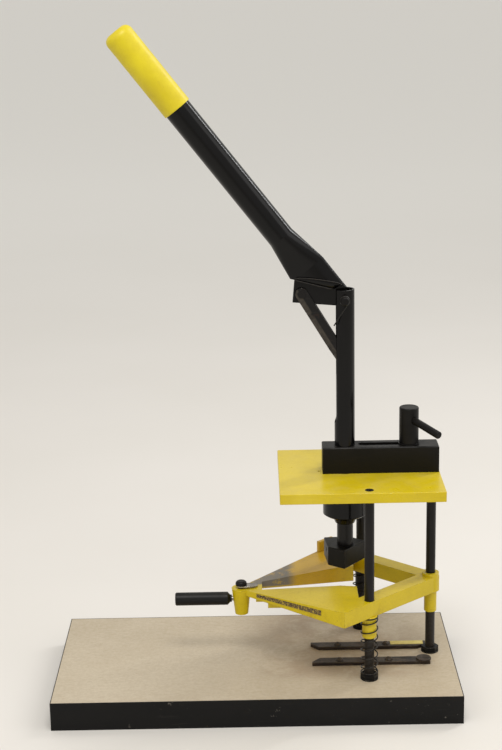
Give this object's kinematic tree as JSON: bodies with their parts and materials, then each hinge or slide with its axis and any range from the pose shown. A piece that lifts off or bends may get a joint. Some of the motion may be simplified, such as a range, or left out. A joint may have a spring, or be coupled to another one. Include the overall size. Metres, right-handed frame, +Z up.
{
  "type": "label maker",
  "caption": "Bench lever press for labels and tags: toggle-lever ram and block-shaped punch head over a sprung kite-shaped frame on three posts, on a laminate base board.",
  "frame": {"origin": "middle of the base board's underside", "axes": "+X along the board's long side towards the clamp, away from the lever; +Y away from the operator; +Z up along the ram's axis"},
  "size_m": [0.5, 0.25, 0.8284],
  "materials": {
    "laminate": "satin",
    "board_core": "matt",
    "edge_band": "satin",
    "yellow_paint": "gloss",
    "black_paint": "gloss",
    "black_oxide": "satin",
    "rail_paint": "satin",
    "yellow_vinyl": "satin",
    "bright_steel": "satin",
    "spring_steel": "satin",
    "bronze": "satin",
    "black_plastic": "satin",
    "yellow_tape": "matt",
    "dark_tape": "matt"
  },
  "bodies": {
    "stand": {"base_board": "board_core", "base_laminate": "laminate", "base_edge_band": "edge_band", "guide_rail_front": "rail_paint", "guide_rail_rear": "rail_paint", "rail_screws": "rail_paint", "rail_end_button": "rail_paint", "gauge_strip": "yellow_tape", "post_front": "black_oxide", "post_rear": "black_oxide", "post_right": "black_oxide", "post_washers": "black_oxide", "post_nuts": "black_oxide", "plate_screws": "black_oxide", "top_plate": "yellow_paint", "slotted_block": "black_oxide", "block_screws": "black_oxide", "column_tube": "black_paint", "pivot_bolt": "black_oxide", "pivot_nut": "bright_steel", "return_spring": "spring_steel", "ram_bush": "bronze", "ram_guide": "black_oxide", "guide_screws": "black_oxide", "spring_front": "spring_steel", "spring_rear": "spring_steel"},
    "lever": {"lever_tube": "black_paint", "lever_grip": "yellow_vinyl", "lever_bracket": "black_oxide"},
    "link": {"link_strap_front": "black_oxide", "link_strap_rear": "black_oxide", "link_top_pin": "bright_steel", "link_foot_pin": "bright_steel"},
    "ram": {"ram_rod": "black_oxide", "punch_head": "black_oxide", "punch_set_screw": "black_oxide"},
    "clamp_slider": {"clamp_stud": "bright_steel", "clamp_washer": "black_oxide"},
    "clamp": {"clamp_nut": "black_oxide", "clamp_bar": "black_oxide"},
    "frame": {"sliding_frame": "yellow_paint", "frame_sleeve_front": "yellow_paint", "frame_sleeve_right": "yellow_paint", "frame_sleeve_rear": "black_oxide", "rear_lug": "yellow_paint", "arm_tab_left": "yellow_paint", "arm_tab_right": "yellow_paint", "label_strip": "dark_tape", "apex_pin": "black_oxide", "frame_handle": "black_plastic", "handle_stud": "bright_steel"},
    "strap": {"apex_strap": "bright_steel"}
  },
  "joints": [
    {"name": "lever_pivot", "type": "hinge", "parent": "stand", "child": "lever", "pos_m": [0.1145, 0.006, 0.5005], "axis": [0, -1, 0], "range_deg": [0, 70], "stiffness_Nm_per_rad": 1.8, "springref_deg": -68.75},
    {"name": "link_pivot", "type": "hinge", "parent": "lever", "child": "link", "pos_m": [0.063, 0.006, 0.5075], "axis": [0, -1, 0], "range_deg": [-87.1, 0]},
    {"name": "ram_slide", "type": "slide", "parent": "stand", "child": "ram", "axis": [0, 0, -1], "range_m": [0, 0.0644]},
    {"name": "frame_slide", "type": "slide", "parent": "stand", "child": "frame", "axis": [0, 0, -1], "range_m": [0, 0.045], "stiffness_N_per_m": 1200, "springref_m": -0.03, "deforming": ["spring_front", "spring_rear"]},
    {"name": "strap_swivel", "type": "hinge", "parent": "frame", "child": "strap", "pos_m": [-0.0175, 0.006, 0.1299], "axis": [0, 0, 1], "range_deg": [-25, 25]},
    {"name": "clamp_travel", "type": "slide", "parent": "stand", "child": "clamp_slider", "axis": [-1, 0, 0], "range_m": [0, 0.045]},
    {"name": "clamp_turn", "type": "hinge", "parent": "clamp_slider", "child": "clamp", "pos_m": [0.1938, 0.006, 0.34], "axis": [0, 0, 1], "range_deg": [-75, 105]}
  ],
  "couplings": [
    {"joint": "link_pivot", "follows": "lever_pivot", "ratio": -1.2434},
    {"joint": "ram_slide", "follows": "lever_pivot", "m_per_rad": 0.05263}
  ]
}
